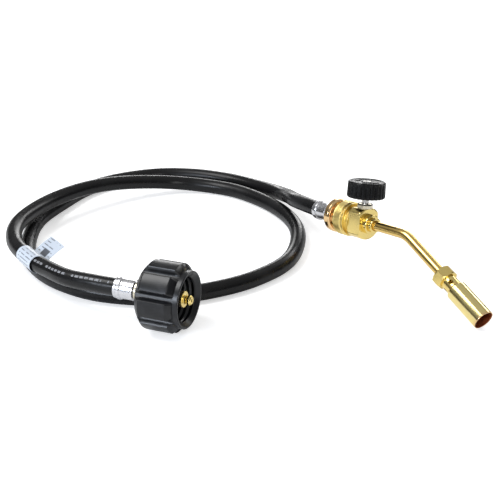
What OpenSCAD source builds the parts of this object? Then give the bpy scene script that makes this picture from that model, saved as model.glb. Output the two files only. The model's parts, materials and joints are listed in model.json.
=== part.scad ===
// Hose-fed propane torch: a brass pencil-flame torch head with a needle valve,
// a rubber gas hose of about 1.4 m, and a hand-tightened cylinder coupling.
// Row frame: Z up, Z = 0 is the floor, X is the way the torch points.

/* [Torch head] */
// Diameter of the knurled inlet collar
collar_d = 29; // [28:0.5:31]
// Width across the two flats of the valve body
body_flats = 20; // [18:0.5:22]
// Diameter of the turned valve body before its flats are cut
body_d = 27.2; // [26:0.2:28]
// Distance from the flange's middle to the knob's axis
knob_x = 32; // [31:0.5:33]
// How far the torch's inlet axis rises above level as it lies
torch_pitch = 6.4; // [5:0.1:8]
// How far the knob leans to the torch's left
torch_roll = 8.5; // [0:0.5:12]

/* [Knob] */
// Diameter of the knob at its lower rim
knob_d = 31.6; // [30:0.2:34]
// Diameter of the knob at its top
knob_top_d = 31; // [28:0.2:32]
// Height of the knob
knob_h = 13.6; // [12:0.2:15]
// Number of finger ribs round the knob
knob_ribs = 24; // [12:2:30]

/* [Burner] */
// Outside diameter of the burn tube
tube_d = 7.9; // [7:0.1:8.2]
// Bore of the burn tube
tube_bore = 5.5; // [5:0.1:6]
// Angle of the bend in the burn tube
tube_bend = 28.5; // [15:0.5:45]
// Radius of the bend, at the tube's middle
bend_r = 25; // [20:1:40]
// Distance from the flange's middle to the corner of the bend
bend_x = 81; // [75:1:90]
// Distance from the corner of the bend to the mixer's middle
mixer_x = 49.8; // [45:0.2:60]
// Outside diameter of the flame tube
flame_d = 16.5; // [16:0.1:18]
// Distance from the mixer's middle to the flame tube's mouth
flame_mouth_x = 46.8; // [42:0.2:60]

/* [Hose] */
// Outside diameter of the rubber hose
hose_d = 13.5; // [13.5:0.1:13.6]
// Outside diameter of the crimped steel ferrules
ferrule_d = 15.6; // [15.2:0.1:16]
// Length of each ferrule
ferrule_l = 17; // [16:0.5:18]

/* [Cylinder coupling] */
// Diameter across the grip lobes of the coupling nut
nut_d = 52; // [50:0.5:52]
// Diameter of the nut's round rim
rim_d = 43; // [42:0.5:44]
// Length of the nut
nut_l = 34; // [34:0.5:36]
// Thread bore of the nut, a 1-5/16 inch hand-wheel thread
nut_thread_d = 33.3; // [33:0.1:33.4]

/* [Hidden] */
$fn = 64;

brass = "#c9a23f";
steel = "#c3c5c8";
black = "#1d1e20";
fit = 0.05;            // radial clearance of a sliding fit
face_gap = 0.1;        // clearance between faces that meet

// ---- where the torch lies: X along its inlet axis, Z along its valve stem
torch_at = [-90, -2.5, 34.4];
torch_dir = [cos(torch_pitch), 0, sin(torch_pitch)];
function torch_point(x) = torch_at + x * torch_dir;
module on_torch() translate(torch_at) rotate([-torch_roll, -torch_pitch, 0]) children();

// ---- past the bend: X along the flame, 0 at the mixer's middle
bend_tangent = bend_r * tan(tube_bend / 2);
module on_burner() on_torch() translate([bend_x, 0, 0]) rotate([0, tube_bend, 0])
  translate([mixer_x, 0, 0]) children();

// ---- where the coupling lies: X along its axis, 0 at the nut's rim
nut_at = [-44.5, -183.5, 26];
nut_heading = 32;
nut_dir = [cos(nut_heading), sin(nut_heading), 0];
function nut_point(x) = nut_at + x * nut_dir;
module on_coupling() translate(nut_at) rotate([0, 0, nut_heading]) children();

// ---- turned shapes, all along X
module rod(x0, x1, d, n = 64) translate([x0, 0, 0]) rotate([0, 90, 0])
  cylinder(h = x1 - x0, d = d, $fn = n);
module cone(x0, x1, d0, d1) translate([x0, 0, 0]) rotate([0, 90, 0])
  cylinder(h = x1 - x0, d1 = d0, d2 = d1);
module tube(x0, x1, d, bore) difference() {
  rod(x0, x1, d);
  rod(x0 - 1, x1 + 1, bore);
}
// a bar with both ends chamfered
module chamfered(x0, x1, d, c) rotate([0, 90, 0]) rotate_extrude()
  polygon([[0, x0], [d / 2 - c, x0], [d / 2, x0 + c], [d / 2, x1 - c], [d / 2 - c, x1], [0, x1]]);
// an upright bar along Z
module post(z0, z1, d, n = 64) translate([0, 0, z0]) cylinder(h = z1 - z0, d = d, $fn = n);
// a round-wire ring about X
module ring_x(x, mid_d, wire) translate([x, 0, 0]) rotate([0, 90, 0]) rotate_extrude()
  translate([mid_d / 2, 0]) circle(d = wire, $fn = 24);

// ================= torch head =================
flange_t = 7;                       // hose adapter's flange
thread_d = 25.4;                    // one-inch cylinder thread
collar_x0 = 8.5;
collar_x1 = 20;
thread_end = 18.5;                  // bottom of the inlet thread
block_x0 = 23.5;
block_x1 = 37.5;
boss_x1 = 42.5;
seat_z = -2;                        // needle seat, on the stem's axis
chamber_d = 8.2;                    // packing chamber
stem_thread_d = 6;
gland_z = 12;                       // flat that the gland nut sits on
gland_top = 14;
inlet_bore = 5.1;
gas_way = 2.4;                      // drilled gas passages
gas_low = -7;                       // level of the passage under the seat

module valve_body() color(brass) on_torch() difference() {
  union() {
    chamfered(collar_x0, collar_x1 - 2.2, collar_d, 0.8);
    rod(collar_x1 - 2.4, collar_x1, collar_d - 1.2);
    rod(collar_x1 - 1, block_x0 + 1, 22);
    difference() {
      chamfered(block_x0, block_x1, body_d, 1.6);
      for (side = [-1, 1]) translate([0, side * (body_flats / 2 + 10), 0])
        cube([100, 20, 60], center = true);
      translate([knob_x, 0, gland_z + 10]) cube([40, 60, 20], center = true);
    }
    rod(block_x1 - 1, boss_x1, 16);
    translate([knob_x, 0, 0]) post(gland_z - 1, gland_top, 9.8);
  }
  rod(collar_x0 - 1, thread_end, thread_d);
  rod(thread_end - 1, thread_end + 7.1, inlet_bore);
  rod(thread_end, 28, gas_way);
  translate([27, 0, 0]) post(gas_low, 0, gas_way);
  translate([0, 0, gas_low]) rod(27, knob_x, gas_way);
  translate([knob_x, 0, 0]) {
    post(gas_low, seat_z + 0.5, 2.2);
    post(seat_z, 4, stem_thread_d + 0.6);
    post(3, gland_z, stem_thread_d + 2 * fit);
    post(8, gland_top + 1, chamber_d);
  }
  rod(knob_x, boss_x1, 3.4);
  rod(boss_x1 - 5, boss_x1 + 1, tube_d + 2 * fit);
}

module inlet_gasket() color("#2a2a2c") on_torch() tube(thread_end - 1, thread_end - fit, 20, 12);

// hollow pin that opens the valve of whatever feeds the torch
module inlet_probe() color(brass) on_torch() difference() {
  union() {
    rod(12, thread_end, 2.8);
    rod(thread_end - fit, thread_end + 5.3, inlet_bore - 2 * fit);
  }
  rod(11, thread_end + 6, 1.4);
}

module inlet_filter() color("#a8763c") on_torch()
  rod(thread_end + 5.4, thread_end + 7, inlet_bore - 2 * fit);

stem_d = 5.5;
knob_z = 21;
stem_top = knob_z + knob_h - 4.2;
lift = 2.5;                          // needle travel from shut to wide open

module valve_stem() color("#b9bcc0") on_torch() translate([knob_x, 0, 0]) difference() {
  union() {
    translate([0, 0, seat_z - 1.2]) cylinder(h = 1.3, d1 = 0.6, d2 = 2);
    post(seat_z + face_gap, 7.8, stem_thread_d);
    post(7.7, knob_z + 1, stem_d);
    difference() {
      post(knob_z + 1, stem_top, stem_d);
      translate([stem_d / 2 - 0.7, -5, knob_z + 1.5]) cube([5, 10, 20]);
    }
  }
  post(stem_top - 5, stem_top + 1, 2.6);
}

module stem_o_ring() color("#2a2a2c") on_torch() translate([knob_x, 0, 9.1])
  rotate([0, 90, 0]) ring_x(0, 6.8, 1.2);

module packing_washer() color("#e8e4d8") on_torch() translate([knob_x, 0, 0]) difference() {
  post(13.1, gland_top, chamber_d - 2 * fit);
  post(13, gland_top + 1, stem_d + 2 * fit);
}

module packing_nut() color("#d8cda8") on_torch() translate([knob_x, 0, 0]) difference() {
  union() {
    post(gland_z + face_gap, 14.9, 13, 6);
    post(14.8, 15.7, 10.6);
  }
  post(gland_z - 1, gland_top + fit, 9.8 + 2 * fit);
  post(gland_z, 18, stem_d + 2 * fit);
}

module control_knob() color(black) on_torch() translate([knob_x, 0, knob_z]) difference() {
  union() {
    difference() {
      cylinder(h = knob_h, d1 = knob_d, d2 = knob_top_d);
      for (i = [0 : knob_ribs - 1]) rotate([0, 0, i * 360 / knob_ribs])
        translate([knob_d / 2 + 0.2, 0, -1]) cylinder(h = knob_h + 2, d = 2.8, $fn = 24);
      post(-1, 7.5, 25);
    }
    post(0.5, 8, 11);
  }
  // D-shaped socket for the stem, open below
  difference() {
    post(-1, stem_top - knob_z + face_gap, stem_d + 2 * fit);
    translate([stem_d / 2 - 0.65, -5, 1.6]) cube([5, 10, 20]);
  }
  post(5, knob_h + 1, 3.2);
  post(knob_h - 2, knob_h + 1, 7.4);
}

module knob_screw() color(steel) on_torch() translate([knob_x, 0, 0]) difference() {
  union() {
    post(knob_z + knob_h - 2 + 0.02, knob_z + knob_h - 0.2, 6.8);
    post(stem_top - 4.6, knob_z + knob_h - 1.5, 2.5);
  }
  for (turn = [0, 90]) rotate([0, 0, turn]) translate([-2, -0.4, knob_z + knob_h - 1.2])
    cube([4, 0.8, 2]);
}

// bar bent once, along the burn tube's centre line
module bent_bar(x0, x1, d) {
  rod(x0, bend_x - bend_tangent, d, 48);
  translate([bend_x - bend_tangent, 0, -bend_r])
    multmatrix([[0, 1, 0, 0], [0, 0, 1, 0], [1, 0, 0, 0], [0, 0, 0, 1]])
      rotate_extrude(angle = tube_bend, $fn = 96) translate([bend_r, 0]) circle(d = d, $fn = 48);
  translate([bend_x, 0, 0]) rotate([0, tube_bend, 0]) rod(bend_tangent, x1, d, 48);
}

module burn_tube() color("#bd9a3c") on_torch() difference() {
  bent_bar(boss_x1 - 5 + face_gap, mixer_x - 1, tube_d);
  bent_bar(boss_x1 - 6, mixer_x + 1, tube_bore);
}

// brazing collar where the tube leaves the valve body
module tube_collar() color(brass) on_torch() difference() {
  chamfered(boss_x1 + fit, boss_x1 + 4, 12, 0.8);
  rod(boss_x1 - 1, boss_x1 + 6, tube_d + 2 * fit);
}

module gas_jet() color("#b08a34") on_burner() difference() {
  union() {
    rod(-4.5, 0, tube_bore - 2 * fit);
    rod(-1 + fit, 1.4, tube_d - 0.6);
    cone(1.3, 3, tube_d - 0.6, 3);
  }
  rod(-5, 4, 0.6, 24);
  rod(-5, 0, 3);
}

sleeve_x1 = 15;
module air_mixer() color(brass) on_burner() difference() {
  union() {
    intersection() {
      rod(-4.5, 4.2, 18.4, 6);
      chamfered(-4.5, 4.2, 18.6, 1);
    }
    rod(4, sleeve_x1, 12.6);
  }
  rod(-5, 1.5, tube_d + 2 * fit);
  rod(1.4, sleeve_x1 + 1, 9.6);
  for (turn = [0 : 90 : 270]) rotate([turn + 45, 0, 0]) translate([9, 0, 0])
    post(0, 12, 3.8, 32);
}

spreader_seat_d = 14.2;
flame_step_x = 24.5;
module flame_tube() color("#d0ac52") on_burner() difference() {
  chamfered(13.2, flame_mouth_x, flame_d, 0.3);
  rod(flame_step_x, flame_mouth_x + 1, flame_d - 1.8);
  rod(14.4, flame_step_x + 1, spreader_seat_d);
  rod(12, 15, 12.6 + 2 * fit);
}

module flame_spreader() color("#8b5a32") on_burner() difference() {
  rod(flame_step_x - 3.4, flame_step_x - 0.4, spreader_seat_d - 2 * fit);
  rod(20, 26, 5, 32);
  for (i = [0 : 7]) rotate([i * 45, 0, 0]) translate([0, 0, 4.8]) rod(20, 26, 1.9, 24);
}

// ================= hose and its fittings =================
barb_d = 7;
hose_grip_bore = 8;                  // the hose's bore once the barb has opened it
torch_mouth_x = -26;                 // where the bare hose starts, on the torch's axis
nut_mouth_x = -59;                   // where the bare hose ends, on the coupling's axis

// barbed stem, pointing down -X from x1
module barb(x1, l) {
  rod(x1 - l, x1, barb_d);
  for (i = [0 : 2]) cone(x1 - l + 1 + i * 4.5, x1 - l + 4 + i * 4.5, barb_d, hose_grip_bore - 0.1);
}
module ferrule(x0) difference() {
  union() {
    chamfered(x0, x0 + 4.4, ferrule_d + 1.6, 0.9);
    chamfered(x0 + 3, x0 + ferrule_l, ferrule_d, 1);
  }
  rod(x0 - 1, x0 + ferrule_l - 2, hose_d - 0.2);
  rod(x0, x0 + ferrule_l + 1, 11 + 2 * fit);
}

module hose_adapter() color(brass) on_torch() difference() {
  union() {
    chamfered(-flange_t / 2, flange_t / 2, 28.4, 1.4);
    rod(flange_t / 2 - 1, 8, thread_d - 2.4);
    chamfered(7.5, thread_end - 1 - face_gap, thread_d - 0.2, 0.8);
    rod(-8.6, -flange_t / 2 + 1, 14, 6);
    rod(-12, -8, 11);
    barb(-9, 15);
  }
  rod(-30, 10, 3.6);
  rod(2, 20, 7);
}

module torch_end_ferrule() color(steel) on_torch() ferrule(torch_mouth_x);

// the two ends of the hose, gripped between barb and ferrule
module hose_tail(x0) tube(x0, x0 + ferrule_l - 3, hose_d - 0.3, hose_grip_bore);
module hose_tails() color(black) {
  on_torch() hose_tail(torch_mouth_x);
  on_coupling() hose_tail(nut_mouth_x);
}

// ---- the hose lies in a loop of one turn and three quarters and crosses itself twice
floor_z = hose_d / 2 + 0.25;
low = floor_z;
hose_route = concat(
  [torch_point(torch_mouth_x)],
  [[-138, -0.5, 29.5], [-156, 4, 26.5], [-175, 13.5, 21.5], [-195, 23, 15.5], [-218, 28.5, 11],
   [-246, 28, 8], [-280, 19, low], [-312, -1, low], [-336, -31, low],
   [-346, -72, low], [-341, -108, low], [-323, -142, low], [-296, -181, low],
   [-261, -208, low], [-222, -226, low], [-180, -230, low], [-140, -219, low],
   [-111, -198, low], [-92, -172, low], [-80, -135, low], [-78, -97, low],
   [-89, -57, low], [-119, -22, low], [-154, 0, low], [-197, 10, low],
   [-243, 7, low], [-275, -7, low], [-298, -34, 10], [-308, -70, 15.5],
   [-309, -108, 20.5], [-304, -144, 22], [-289, -183, 22], [-262, -217, 22],
   [-226, -236, 22], [-187, -240, 22], [-160, -238, 22.5], [-134, -235, 24.5]],
  [nut_point(nut_mouth_x - 20), nut_point(nut_mouth_x)]);

function unit(v) = v / norm(v);
// a smooth curve through the route: the point a share t past point i
function on_route(i, t) =
  let (n = len(hose_route),
    a = i > 0 ? hose_route[i - 1] : 2 * hose_route[0] - hose_route[1],
    b = hose_route[i], c = hose_route[i + 1],
    d = i + 2 < n ? hose_route[i + 2] : 2 * hose_route[n - 1] - hose_route[n - 2])
  0.5 * (2 * b + (c - a) * t + (2 * a - 5 * b + 4 * c - d) * t * t + (3 * b - a - 3 * c + d) * t * t * t);
rings_per_point = 2;
hose_line = concat(
  [for (i = [0 : len(hose_route) - 2], j = [0 : rings_per_point - 1]) on_route(i, j / rings_per_point)],
  [hose_route[len(hose_route) - 1]]);
hose_sides = 12;
function heading(line, i) =
  i == 0 ? -torch_dir : i == len(line) - 1 ? nut_dir : unit(line[i + 1] - line[i - 1]);
function hose_ring(line, i, d) =
  let (t = heading(line, i), side = unit(cross(t, [0, 0, 1])), up = cross(side, t))
  [for (k = [0 : hose_sides - 1])
    line[i] + d / 2 * (cos(k * 360 / hose_sides) * side + sin(k * 360 / hose_sides) * up)];

module sweep(line, d) {
  last = len(line) - 1;
  points = [for (i = [0 : last]) each hose_ring(line, i, d)];
  sides = [for (i = [0 : last - 1], k = [0 : hose_sides - 1])
    let (a = i * hose_sides + k, b = i * hose_sides + (k + 1) % hose_sides)
    [a, b, b + hose_sides, a + hose_sides]];
  start = [for (k = [hose_sides - 1 : -1 : 0]) k];
  end = [for (k = [0 : hose_sides - 1]) last * hose_sides + k];
  polyhedron(points, concat([start], sides, [end]), convexity = 10);
}
module hose() color(black) sweep(hose_line, hose_d);

// film label wrapped round the hose, its two ends stuck together as a flag
label_at = hose_route[len(hose_route) - 5];
label_w = 26;
label_flag = 21;
label_rise = 35;                     // the flag's tip stands higher than the hose
module label_band() difference() {
  rod(-label_w / 2, label_w / 2, hose_d + 4.4, 48);
  rod(-label_w, label_w, hose_d + 3, 48);
}
module hose_label() color("#e9edf2") translate(label_at) rotate([0, 0, 178]) {
  label_band();
  rotate([-label_rise, 0, 0]) translate([-label_w / 2, -hose_d / 2 - 2.1 - label_flag, -0.4])
    cube([label_w, label_flag, 0.8]);
}

// ================= cylinder coupling =================
module tank_end_ferrule() color(steel) on_coupling() ferrule(nut_mouth_x);

shaft_d = 12;
check_bore = 7.2;
wall_x = -31;                        // inner face of the nut's back wall
stop_x = -28;                        // front stop of the bushing
slide_back = 4;                      // how far the nut can be pulled back

module tank_nipple() color("#b5b7ba") on_coupling() difference() {
  union() {
    barb(nut_mouth_x + ferrule_l, 15);
    rod(nut_mouth_x + ferrule_l - 3, nut_mouth_x + ferrule_l + 1, 11);
    chamfered(-42, -40, 15, 0.4);
    rod(-41, -20, shaft_d);
    chamfered(stop_x, -21, 19, 1);
    rod(-22, -5, 12.4);
  }
  rod(-70, -20, 3.2);
  rod(-22, 0, check_bore);
}

module thermal_bushing() color("#c9b98a") on_coupling() difference() {
  union() {
    rod(-36.5, wall_x + 0.5, 18.2);
    chamfered(wall_x + face_gap, stop_x - face_gap, 27, 0.5);
  }
  rod(-40, 0, shaft_d + 2 * fit);
}

nut_lobes = 8;
module coupling_nut() color("#26282c") on_coupling() difference() {
  union() {
    rod(-nut_l, 0, rim_d);
    intersection() {
      union() for (i = [0 : nut_lobes - 1]) rotate([i * 360 / nut_lobes + 180 / nut_lobes, 0, 0])
        translate([-nut_l + 1, -7.2, 0]) cube([nut_l - 5, 14.4, nut_d / 2]);
      chamfered(-nut_l + 1, -4, nut_d, 4);
    }
  }
  rod(-nut_l - 1, 1, 18.3);
  rod(wall_x, 1, nut_thread_d);
  cone(-3, 0.01, nut_thread_d, nut_thread_d + 6);
}

module nipple_nose() color(brass) on_coupling() difference() {
  union() {
    rod(-9, -4.6, check_bore - 2 * fit);
    chamfered(-5 + fit, -3.6, 12.4, 0.4);
    rod(-4, -1, 6.4);
    rotate([0, 90, 0]) rotate_extrude()
      polygon([[0, -1.6], [3, -1.6], [3.9, -0.8], [3.9, 0.8], [2.8, 2], [0, 2]]);
  }
  rod(-10, 3, 2.4, 32);
}

// poppet that shuts if the gas runs away
check_x = -13;
module flow_check() color("#d9d4c4") on_coupling() difference() {
  union() {
    rod(check_x, check_x + 3.6, check_bore - 2 * fit);
    rod(check_x - 4, check_x + 0.5, 3.6, 32);
  }
  for (turn = [0 : 120 : 240]) rotate([turn, 0, 0]) translate([0, 0, 3.4])
    rod(check_x - 1, check_x + 5, 1.6, 24);
}

spring_wire = 0.6;
spring_d = 5.4;
spring_turns = 5;
spring_steps = 14;
spring_sides = 6;
module check_spring() color("#a9adb2") on_coupling() {
  x0 = -22 + spring_wire / 2 + 0.05;
  length = check_x - spring_wire / 2 - 0.05 - x0;
  count = spring_turns * spring_steps;
  points = [for (i = [0 : count], k = [0 : spring_sides - 1])
    let (turn = i * 360 / spring_steps, lean = k * 360 / spring_sides,
      r = spring_d / 2 + spring_wire / 2 * cos(lean))
    [x0 + length * i / count + spring_wire / 2 * sin(lean), r * cos(turn), r * sin(turn)]];
  sides = [for (i = [0 : count - 1], k = [0 : spring_sides - 1])
    let (a = i * spring_sides + k, b = i * spring_sides + (k + 1) % spring_sides)
    [a, b, b + spring_sides, a + spring_sides]];
  start = [for (k = [spring_sides - 1 : -1 : 0]) k];
  end = [for (k = [0 : spring_sides - 1]) count * spring_sides + k];
  polyhedron(points, concat([start], sides, [end]), convexity = 10);
}

valve_body();
inlet_gasket();
inlet_probe();
inlet_filter();
valve_stem();
stem_o_ring();
packing_washer();
packing_nut();
control_knob();
knob_screw();
burn_tube();
tube_collar();
gas_jet();
air_mixer();
flame_tube();
flame_spreader();
hose_adapter();
torch_end_ferrule();
hose_tails();
hose();
hose_label();
tank_end_ferrule();
tank_nipple();
thermal_bushing();
coupling_nut();
nipple_nose();
flow_check();
check_spring();
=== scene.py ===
# %% [markdown]
# # A hose-fed gas torch
# A brass torch head, a rubber gas hose that lies in a loop, and a black hand-tightened coupling.
# The CAD model is loaded first and never changes. It fixes where every piece goes, so each piece
# below is made straight in its place, in metres, in the CAD model's own frame: Z up, the floor at
# Z = 0, and the torch pointing along +X.

# %% Load the frame
import json
import math

import bpy
from mathutils import Matrix, Vector


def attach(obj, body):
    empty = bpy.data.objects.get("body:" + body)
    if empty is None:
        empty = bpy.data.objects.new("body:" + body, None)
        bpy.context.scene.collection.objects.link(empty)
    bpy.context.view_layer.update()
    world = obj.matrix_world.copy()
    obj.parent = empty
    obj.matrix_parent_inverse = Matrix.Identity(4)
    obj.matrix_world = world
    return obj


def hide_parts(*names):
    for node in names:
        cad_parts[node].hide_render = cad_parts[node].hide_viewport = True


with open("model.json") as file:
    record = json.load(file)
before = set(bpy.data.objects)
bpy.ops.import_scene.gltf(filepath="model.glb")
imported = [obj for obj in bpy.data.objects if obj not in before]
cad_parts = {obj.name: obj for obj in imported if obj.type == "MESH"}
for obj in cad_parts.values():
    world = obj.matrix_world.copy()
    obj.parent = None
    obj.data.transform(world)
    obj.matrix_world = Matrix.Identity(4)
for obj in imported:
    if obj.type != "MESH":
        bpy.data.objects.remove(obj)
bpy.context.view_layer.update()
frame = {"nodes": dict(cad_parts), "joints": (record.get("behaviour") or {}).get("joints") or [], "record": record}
MM = 0.001
joints = {joint["name"]: joint for joint in frame["joints"]}
mounts = {mount["name"]: mount for mount in frame["record"]["mounts"]}
HEAD = "torch_and_hose"

# %% [markdown]
# The head was turned on a lathe and drilled, so most of its surfaces are round about one of four
# axes. Each axis gets a matrix whose X column runs along it. They could be typed in as angles, but
# the record already holds them: the knob's hinge, the flame tube's mount and the coupling's hinge
# give a point and a direction each, and the inlet's axis is square to the knob's.

# %% Four turning axes
KNOB_X = 32 * MM
TUBE_MID_X = 30 * MM


def axes(origin, x, z):
    """A matrix at origin with its first column along x and its third near z."""
    x = Vector(x).normalized()
    y = Vector(z).cross(x).normalized()
    turn = Matrix((x, y, x.cross(y))).transposed()
    return Matrix.Translation(origin) @ turn.to_4x4()


knob_up = Vector(joints["knob_turn"]["axis"])
knob_foot = Vector(joints["knob_turn"]["pos_m"])
flame_dir = Vector(mounts["flame_tube_outside"]["axis"])
inlet_dir = (flame_dir - flame_dir.dot(knob_up) * knob_up).normalized()
torch = axes(knob_foot - KNOB_X * inlet_dir, inlet_dir, knob_up)
knob = axes(knob_foot, knob_up, inlet_dir)
burner = axes(Vector(mounts["flame_tube_outside"]["pos_m"]) - TUBE_MID_X * flame_dir, flame_dir, knob_up)
coupling = axes(joints["coupling_spin"]["pos_m"], joints["coupling_spin"]["axis"], (0, 0, 1))
bend_deg = math.degrees(inlet_dir.angle(flame_dir))
print("bend of the burn tube:", round(bend_deg, 2), "degrees")

# %% [markdown]
# The camera stands in front of the torch's nose, to its right, and looks down on the loop. A long
# lens keeps the round parts from stretching at the edge of the picture. Turning the view by an
# azimuth and an elevation is easier to read than a rotation in Euler angles.

# %% Camera
CAMERA_AT = (0.4982, -0.5324, 0.348)
AZIMUTH, ELEVATION = math.radians(53.4), math.radians(23.7)

eye = bpy.data.objects.new("camera", bpy.data.cameras.new("camera"))
eye.data.lens = 72
eye.data.sensor_width = 36
eye.data.clip_start = 0.01
away = Vector((
    -math.sin(AZIMUTH) * math.cos(ELEVATION),
    math.cos(AZIMUTH) * math.cos(ELEVATION),
    -math.sin(ELEVATION),
))
eye.location = CAMERA_AT
eye.rotation_mode = "QUATERNION"
eye.rotation_quaternion = away.to_track_quat("-Z", "Y")
bpy.context.scene.collection.objects.link(eye)
bpy.context.scene.camera = eye
print("camera:", round(math.degrees(AZIMUTH), 1), "round,", round(math.degrees(ELEVATION), 1), "up")

# %% [markdown]
# Every visible piece is a list of corners and faces, made by one function that also shades it
# smooth, keeps the hard edges hard and lets it ride on its CAD body. Small attributes on the
# corners, such as the distance along the hose, can be stored for a material to read.

# %% One way to make a piece
HARD_EDGE = math.radians(38)


def piece(name, corners, faces, finish, body, stored=None, stands_for=()):
    """A new mesh piece that rides on body and stands for the CAD nodes named."""
    mesh = bpy.data.meshes.new(name)
    mesh.from_pydata([tuple(c) for c in corners], [], faces)
    mesh.materials.append(finish)
    mesh.shade_smooth()
    mesh.set_sharp_from_angle(angle=HARD_EDGE)
    for key, values in (stored or {}).items():
        mesh.attributes.new(key, "FLOAT", "POINT").data.foreach_set("value", values)
    made = bpy.data.objects.new(name, mesh)
    bpy.context.scene.collection.objects.link(made)
    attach(made, body)
    if stands_for:
        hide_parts(*stands_for)
    print(f"{name}: {len(mesh.vertices)} corners, {len(mesh.polygons)} faces")
    return made


def grid_faces(rows, columns, closed_rows=False):
    """Four-sided faces between rows of corners, each row a closed ring."""
    last = rows if closed_rows else rows - 1
    return [
        (r * columns + c, r * columns + (c + 1) % columns,
         (r + 1) % rows * columns + (c + 1) % columns, (r + 1) % rows * columns + c)
        for r in range(last) for c in range(columns)
    ]


# %% [markdown]
# ## Shader maths
# A finish is easier to read as arithmetic than as a list of nodes and links. `Wire` wraps one
# output socket, and adding or multiplying wires adds Math nodes. `Tree` makes every other node
# with a single method. `Finish` is the tree of one material, and the sky has a tree too.

# %% Wires and finishes
class Wire:
    """An output socket. Arithmetic on it adds Math nodes to its tree."""

    def __init__(self, home, socket):
        self.home = home
        self.socket = socket

    def math(self, operation, a, b=0.0):
        return self.home.node("Math", {"operation": operation}, {0: a, 1: b})

    def __add__(self, other):
        return self.math("ADD", self, other)

    def __radd__(self, other):
        return self.math("ADD", other, self)

    def __sub__(self, other):
        return self.math("SUBTRACT", self, other)

    def __rsub__(self, other):
        return self.math("SUBTRACT", other, self)

    def __mul__(self, other):
        return self.math("MULTIPLY", self, other)

    def __rmul__(self, other):
        return self.math("MULTIPLY", other, self)

    def __truediv__(self, other):
        return self.math("DIVIDE", self, other)

    def wave(self):
        """From -1 to 1, once for each whole turn in radians."""
        return self.math("SINE", self)

    def size(self):
        return self.math("ABSOLUTE", self)

    def part(self):
        """What is left after the whole number."""
        return self.math("FRACT", self)

    def step(self, low, high):
        """0 below low and 1 above high, with a smooth climb between; high may be the lower one."""
        settings = {"interpolation_type": "SMOOTHSTEP"}
        sockets = {"Value": self, "From Min": min(low, high), "From Max": max(low, high)}
        sockets.update({"To Min": float(low > high), "To Max": float(low < high)})
        return self.home.node("MapRange", settings, sockets)


class Tree:
    """A node tree, and one method that adds any node to it."""

    def __init__(self, tree):
        self.tree = tree

    def node(self, kind, settings=None, sockets=None, out=0):
        """A new node: its settings are set first, then its sockets are fed."""
        made = self.tree.nodes.new("ShaderNode" + kind)
        for name, value in (settings or {}).items():
            if name == "stops":
                self.set_stops(made.color_ramp, value)
            else:
                setattr(made, name, value)
        for key, value in (sockets or {}).items():
            self.feed(made.inputs[key], value)
        return Wire(self, made.outputs[out])

    @staticmethod
    def set_stops(ramp, stops):
        """Grey levels at positions from 0 to 1."""
        while len(ramp.elements) < len(stops):
            ramp.elements.new(0.5)
        for element, (position, level) in zip(ramp.elements, stops):
            element.position = position
            element.color = (level, level, level, 1)

    def feed(self, socket, value):
        if isinstance(value, Wire):
            self.tree.links.new(value.socket, socket)
        else:
            socket.default_value = value


class Finish(Tree):
    """One material with a Principled shader, and the nodes that vary it."""

    def __init__(self, name, color, roughness, metallic=0.0, **constants):
        self.material = bpy.data.materials.new(name)
        self.material.use_nodes = True
        super().__init__(self.material.node_tree)
        self.shader = self.tree.nodes["Principled BSDF"]
        self.set("Base Color", (*color, 1.0))
        self.set("Roughness", roughness)
        self.set("Metallic", metallic)
        for name, value in constants.items():
            self.set(name.replace("_", " ").title().replace("Ior", "IOR"), value)

    def set(self, name, value):
        self.feed(self.shader.inputs[name], value)

    def place(self):
        """Where a point of the surface is, in the row frame, in metres."""
        return self.node("TexCoord", out="Object")

    def stored(self, name):
        return self.node("Attribute", {"attribute_name": name}, out="Fac")

    def noise(self, scale, detail=3.0, stretch=(1, 1, 1)):
        """Cloudy variation from 0 to 1; scale counts patches in a metre."""
        where = self.node("VectorMath", {"operation": "MULTIPLY"}, {0: self.place(), 1: stretch})
        sockets = {"Vector": where, "Scale": scale, "Detail": detail, "Roughness": 0.5}
        return self.node("TexNoise", None, sockets, out="Fac")

    def blend(self, factor, first, second):
        """first where factor is 0 and second where it is 1, both colours."""
        sockets = {0: factor, 6: self.paint(first), 7: self.paint(second)}
        return self.node("Mix", {"data_type": "RGBA"}, sockets, out=2)

    @staticmethod
    def paint(color):
        return color if isinstance(color, Wire) else (*color, 1.0)

    def along(self, axis):
        """Distance along a turning axis, in millimetres."""
        where = self.node("VectorMath", {"operation": "SUBTRACT"}, {0: self.place(), 1: axis.translation})
        sockets = {0: where, 1: tuple(axis.col[0][:3])}
        return self.node("VectorMath", {"operation": "DOT_PRODUCT"}, sockets, out="Value") / MM

    def away_from(self, axis):
        """Distance from a turning axis, in millimetres."""
        where = self.node("VectorMath", {"operation": "SUBTRACT"}, {0: self.place(), 1: axis.translation})
        sockets = {0: where, 1: tuple(axis.col[0][:3])}
        square = self.node("VectorMath", {"operation": "CROSS_PRODUCT"}, sockets)
        return self.node("VectorMath", {"operation": "LENGTH"}, {0: square}, out="Value") / MM

    def bump(self, height, distance_mm, strength=1.0):
        sockets = {"Height": height, "Distance": distance_mm * MM, "Strength": strength}
        self.set("Normal", self.node("Bump", None, sockets))


# %% [markdown]
# ## The hose
# A gas hose is a stiff rubber tube with a fixed length. Its outside carries fine rings, which may
# come from the wrapping it was cured in. It could be a curve with a bevel, but then the rings would be only
# paint, so it is a mesh tube: one ring of corners every 0.6 mm, every second one a little smaller.
# The route is the CAD model's, point for point.

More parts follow.
